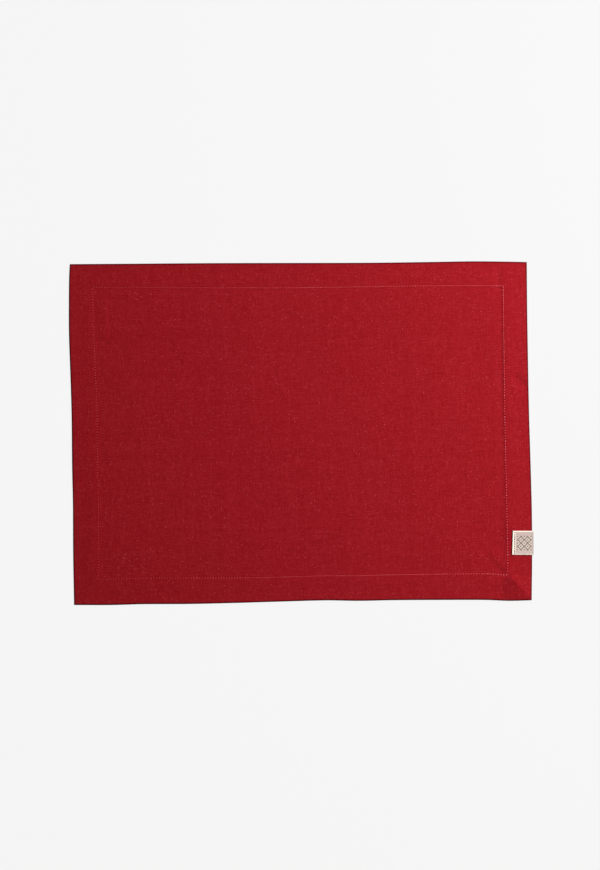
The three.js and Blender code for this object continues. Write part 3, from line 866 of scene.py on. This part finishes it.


# Spun polyester, dyed to match but brighter than the linen. Painted light makes it darker on the left and
# paler towards the right, where the lamp is.
hem_thread, tree = new_material("spun polyester thread, red")
thread_place = add_node(tree, "ShaderNodeTexCoord")
ply_noise = add_node(tree, "ShaderNodeTexNoise",
                     {"Vector": thread_place.outputs["Object"], "Scale": PLY_PER_MM / MM})
thread_parts = add_node(tree, "ShaderNodeSeparateXYZ", {0: thread_place.outputs["Object"]})
# Painted light: paler towards the right, where the lamp is.
painted_light_to_right = add_node(tree, "ShaderNodeMapRange",
                     {"Value": thread_parts.outputs[0], "From Min": -0.2, "From Max": 0.2, "To Max": 0.9})
paleness = add_node(tree, "ShaderNodeMath",
                    {0: ply_noise, 1: 0.4, 2: painted_light_to_right}, operation="MULTIPLY_ADD")
ply_tone = add_node(tree, "ShaderNodeMix",
                    {"Factor": paleness, "A": THREAD_DEEP, "B": THREAD_PALE}, data_type="RGBA")
# Here and there a stitch gets a painted highlight, more of them towards the right.
own_light = add_node(tree, "ShaderNodeTexNoise",
                     {"Vector": thread_place.outputs["Object"], "Scale": 0.5 / MM, "Detail": 0.0})
glint = add_node(tree, "ShaderNodeMapRange", {"Value": own_light, "From Min": 0.54, "From Max": 0.62})
glint_share = add_node(tree, "ShaderNodeMath", {0: glint, 1: painted_light_to_right}, operation="MULTIPLY")
lit_tone = add_node(tree, "ShaderNodeMix",
                    {"Factor": glint_share, "A": ply_tone.outputs["Result"], "B": THREAD_GLINT},
                    data_type="RGBA")
ply_bump = add_node(tree, "ShaderNodeBump", {"Height": ply_noise, "Distance": 0.05 * MM})
thread_shader = add_node(tree, "ShaderNodeBsdfPrincipled",
                         {"Base Color": lit_tone.outputs["Result"], "Roughness": 0.55,
                          "Specular IOR Level": 0.15, "Normal": ply_bump})
add_node(tree, "ShaderNodeOutputMaterial", {"Surface": thread_shader})


def seam_rows(ring, offset):
    """The four sides of a ring of the cloth as rows of points, moved up or down by offset millimetres."""
    rows = []
    for first, last in zip(side_starts, side_starts[1:]):
        indices = [ring[step % round_count] for step in range(first, last + 1)]
        rows.append([(points[i][0], points[i][1], points[i][2] + offset * MM) for i in indices])
    return rows


face_rows = seam_rows(rings[upper_stitch_row], CLOTH_THICK / 2)
back_rows = seam_rows(rings[under_stitch_row], BACK_THREAD_RADIUS + 0.02 - UNDER_SEAM_HEIGHT)
face_stitches = sew("hem_stitches_face", face_rows, hem_thread, STITCH_PITCH, STITCH_SHARE,
                    THREAD_RADIUS, STITCH_RISE, STITCH_SINK, 11)
back_stitches = sew("hem_stitches_back", back_rows, hem_thread, STITCH_PITCH, STITCH_SHARE,
                    BACK_THREAD_RADIUS, -STITCH_SINK, -STITCH_SINK, 12)
for stitches in (face_stitches, back_stitches):
    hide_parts("mat")


# The label: a short length of woven cream tape, folded over the right-hand hem, with one cut end on the face
# of the mat and one at its back, and sewn through there. Its selvedges are paler than the rest.
LABEL_NOSE_X = 255
LABEL_REST = 0.05
hem_middle = cloth_point(MAT_LENGTH - 20, MAT_WIDTH / 2 + LABEL_MIDDLE_Y, 20, 1.42, 0)
label_top = hem_middle[2] / MM + CLOTH_THICK / 2
LEG_GAP = label_top + LABEL_REST  # between the lower leg's underside and the upper leg's
leg_low = LABEL_THICK / 2
leg_high = LEG_GAP + LABEL_THICK / 2 + 0.12
nose_radius = (leg_high - leg_low) / 2
nose_x = LABEL_NOSE_X - LABEL_THICK / 2 - nose_radius
LABEL_STITCH_X = 233.75
LABEL_OUT_OF_SQUARE = 0.4
SELVEDGE_WIDTH = 1.4
CUT_END_WIDTH = 3.5  # of the strip by the cut end, pale like the selvedges
STITCH_PINCH = 0.22
END_FLARE = 0.3  # the cut end stands up a little past the stitches

leg_steps = 34
nose_steps = 10
width_steps = 30
tape_way = []
for i in range(leg_steps + 1):
    x = LABEL_END_X + (nose_x - LABEL_END_X) * i / leg_steps
    pinch = STITCH_PINCH * math.exp(-(((x - LABEL_STITCH_X) / 0.7) ** 2))
    flare = END_FLARE * (1 - smooth_step(x, LABEL_END_X, LABEL_STITCH_X))
    tape_way.append((x, leg_high - pinch + flare))
for i in range(1, nose_steps):
    a = math.pi * i / nose_steps
    middle_z = (leg_low + leg_high) / 2
    tape_way.append((nose_x + nose_radius * math.sin(a), middle_z + nose_radius * math.cos(a)))
for i in range(leg_steps + 1):
    tape_way.append((nose_x - (nose_x - LABEL_END_X - 0.3) * i / leg_steps, leg_low))

tape_points = []
for k, (x, z) in enumerate(tape_way):
    for j in range(width_steps + 1):
        w = j / width_steps
        y = LABEL_MIDDLE_Y + (w - 0.5) * LABEL_WIDTH
        to_end = (nose_x - x) / (nose_x - LABEL_END_X)
        lean = LABEL_OUT_OF_SQUARE * min(max(to_end, 0), 1) * (2 * w - 1)
        cup = 0.06 * math.sin(2.2 * math.pi * w + 0.7) * (k <= leg_steps)
        tape_points.append(((x + lean) * MM, y * MM, (z + cup) * MM))
tape_faces = []
tape_uv = []
tape_run = np.concatenate(([0], np.cumsum([math.dist(a, b) for a, b in zip(tape_way, tape_way[1:])])))
row_length = width_steps + 1
for k in range(len(tape_way) - 1):
    for j in range(width_steps):
        a = k * row_length + j
        tape_faces.append([a, a + row_length, a + row_length + 1, a + 1])
        for kk, jj in ((k, j), (k + 1, j), (k + 1, j + 1), (k, j + 1)):
            tape_uv.append((tape_run[kk] * MM, jj / width_steps * LABEL_WIDTH * MM))
label = new_sheet("tape_label", tape_points, tape_faces, {"tape": tape_uv})

# Woven cotton tape: fine ribs across its length, cream, greyed in the middle by the darker yarn of the mark.
RIB_SPACING = 0.55
MARK_MIDDLE = (13.2, 13.0)
LOZENGE = 7.2
MARK_LOZENGES = 2
TAPE_DARK = linear("#B8A39B")
TAPE_LIGHT = linear("#D2BCB4")
MARK_GROUND = linear("#CFBEB3")
MARK_YARN = linear("#75655A")
SELVEDGE_TONE = linear("#F2E1D2")
# Painted shade for the tape's nose.
NOSE_SHADE_TONE = linear("#8C8C8A")
tape, tree = new_material("woven cotton tape")
tape_map = add_node(tree, "ShaderNodeUVMap", uv_map="tape")
tape_mm = add_node(tree, "ShaderNodeVectorMath", {0: tape_map, "Scale": 1 / MM}, operation="SCALE")
tape_parts = add_node(tree, "ShaderNodeSeparateXYZ", {0: tape_mm})
from_middle = add_node(tree, "ShaderNodeMath",
                       {0: tape_parts.outputs[1], 1: LABEL_WIDTH / 2}, operation="SUBTRACT")
off_middle = add_node(tree, "ShaderNodeMath", {0: from_middle}, operation="ABSOLUTE")
selvedge = add_node(tree, "ShaderNodeMapRange",
                    {"Value": off_middle, "From Min": LABEL_WIDTH / 2 - SELVEDGE_WIDTH,
                     "From Max": LABEL_WIDTH / 2 - SELVEDGE_WIDTH + 0.4})
cut_end = add_node(tree, "ShaderNodeMapRange",
                   {"Value": tape_parts.outputs[0], "From Min": CUT_END_WIDTH,
                    "From Max": CUT_END_WIDTH + 0.5, "To Min": 1.0, "To Max": 0.0})
edge = add_node(tree, "ShaderNodeMath", {0: selvedge, 1: cut_end}, operation="MAXIMUM")
rib_angle = add_node(tree, "ShaderNodeVectorMath",
                     {0: tape_mm, "Scale": math.pi / RIB_SPACING}, operation="SCALE")
rib_wave = add_node(tree, "ShaderNodeVectorMath", {0: rib_angle}, operation="SINE")
rib_parts = add_node(tree, "ShaderNodeSeparateXYZ", {0: rib_wave})
rib_cross = add_node(tree, "ShaderNodeMath",
                     {0: rib_parts.outputs[0], 1: rib_parts.outputs[1]}, operation="MULTIPLY")
rib = add_node(tree, "ShaderNodeMath", {0: rib_cross}, operation="ABSOLUTE")
tape_noise = add_node(tree, "ShaderNodeTexNoise", {"Vector": tape_mm, "Scale": 1.1, "Detail": 2.0})
tape_tone = add_node(tree, "ShaderNodeMix",
                     {"Factor": tape_noise, "A": TAPE_DARK, "B": TAPE_LIGHT}, data_type="RGBA")
# The mark woven into it: a lattice of small lozenges, each with a dot inside, in taupe yarn.
mark_parts = []
for part, middle in ((tape_parts.outputs[0], MARK_MIDDLE[0]), (tape_parts.outputs[1], MARK_MIDDLE[1])):
    centred = add_node(tree, "ShaderNodeMath", {0: part, 1: middle}, operation="SUBTRACT")
    spaced = add_node(tree, "ShaderNodeMath", {0: centred, 1: 1 / LOZENGE}, operation="MULTIPLY")
    zigzag = add_node(tree, "ShaderNodeMath", {0: spaced, 1: 0.5}, operation="PINGPONG")
    reach = add_node(tree, "ShaderNodeMath", {0: spaced}, operation="ABSOLUTE")
    mark_parts.append((zigzag, reach))
lozenge = add_node(tree, "ShaderNodeMath", {0: mark_parts[0][0], 1: mark_parts[1][0]}, operation="ADD")
off_line = add_node(tree, "ShaderNodeMath", {0: lozenge, 1: 0.5}, operation="SUBTRACT")
by_line = add_node(tree, "ShaderNodeMath", {0: off_line}, operation="ABSOLUTE")
line = add_node(tree, "ShaderNodeMapRange",
                {"Value": by_line, "From Min": 0.06, "From Max": 0.12, "To Min": 1.0, "To Max": 0.0})
dot = add_node(tree, "ShaderNodeMapRange", {"Value": by_line, "From Min": 0.35, "From Max": 0.41})
drawing = add_node(tree, "ShaderNodeMath", {0: line, 1: dot}, operation="MAXIMUM")
furthest = add_node(tree, "ShaderNodeMath",
                    {0: mark_parts[0][1], 1: mark_parts[1][1]}, operation="MAXIMUM")
inside = add_node(tree, "ShaderNodeMath",
                  {0: furthest, 1: MARK_LOZENGES / 2 + 0.08}, operation="LESS_THAN")
mark = add_node(tree, "ShaderNodeMath", {0: drawing, 1: inside}, operation="MULTIPLY")
ground = add_node(tree, "ShaderNodeMix",
                  {"Factor": inside, "A": tape_tone.outputs["Result"], "B": MARK_GROUND},
                  data_type="RGBA")
marked = add_node(tree, "ShaderNodeMix",
                  {"Factor": mark, "A": ground.outputs["Result"], "B": MARK_YARN}, data_type="RGBA")
edge_tone = add_node(tree, "ShaderNodeMix",
                     {"Factor": edge, "A": marked.outputs["Result"], "B": SELVEDGE_TONE},
                     data_type="RGBA")
# Painted shade greys the fold at the nose, where the tape curves down round the hem's edge.
nose_shade = add_node(tree, "ShaderNodeMapRange",
                  {"Value": tape_parts.outputs[0], "From Min": nose_x - LABEL_END_X - 1,
                   "From Max": nose_x - LABEL_END_X + 0.4, "To Max": 0.55})
label_tone = add_node(tree, "ShaderNodeMix",
                      {"Factor": nose_shade, "A": edge_tone.outputs["Result"], "B": NOSE_SHADE_TONE},
                      data_type="RGBA")
raised = add_node(tree, "ShaderNodeMath", {0: mark, 1: rib}, operation="ADD")
tape_bump = add_node(tree, "ShaderNodeBump", {"Height": raised, "Distance": 0.12 * MM})
tape_shader = add_node(tree, "ShaderNodeBsdfPrincipled",
                       {"Base Color": label_tone.outputs["Result"], "Roughness": 0.8,
                        "Specular IOR Level": 0.3, "Normal": tape_bump})
add_node(tree, "ShaderNodeOutputMaterial", {"Surface": tape_shader})
thicken(label, LABEL_THICK, tape)
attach(label, "root")
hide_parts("label")

# The row that holds the label, in dark brown thread through tape and hem.
LABEL_PITCH = 2.5
LABEL_STITCH_SHARE = 0.46
LABEL_THREAD_RADIUS = 0.46
LABEL_STITCH_RISE = 0.6
BROWN_DARK = linear("#160E0A")
BROWN_LIGHT = linear("#30241C")
label_thread, tree = new_material("spun polyester thread, brown")
thread_place = add_node(tree, "ShaderNodeTexCoord")
ply_noise = add_node(tree, "ShaderNodeTexNoise",
                     {"Vector": thread_place.outputs["Object"], "Scale": PLY_PER_MM / MM})
ply_tone = add_node(tree, "ShaderNodeMix",
                    {"Factor": ply_noise, "A": BROWN_DARK, "B": BROWN_LIGHT}, data_type="RGBA")
thread_shader = add_node(tree, "ShaderNodeBsdfPrincipled",
                         {"Base Color": ply_tone.outputs["Result"], "Roughness": 0.6,
                          "Specular IOR Level": 0.15})
add_node(tree, "ShaderNodeOutputMaterial", {"Surface": thread_shader})
stitch_top = leg_high - STITCH_PINCH + LABEL_THICK / 2
ends_y = (LABEL_MIDDLE_Y - LABEL_WIDTH / 2 + 0.6, LABEL_MIDDLE_Y + LABEL_WIDTH / 2 - 0.6)
label_row = [((LABEL_STITCH_X + 0.3 * LABEL_OUT_OF_SQUARE * s) * MM, y * MM, stitch_top * MM)
             for s, y in zip((-1, 1), ends_y)]
label_stitches = sew("label_stitches", [label_row], label_thread, LABEL_PITCH, LABEL_STITCH_SHARE,
                     LABEL_THREAD_RADIUS, LABEL_STITCH_RISE, STITCH_SINK, 21)
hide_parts("label")
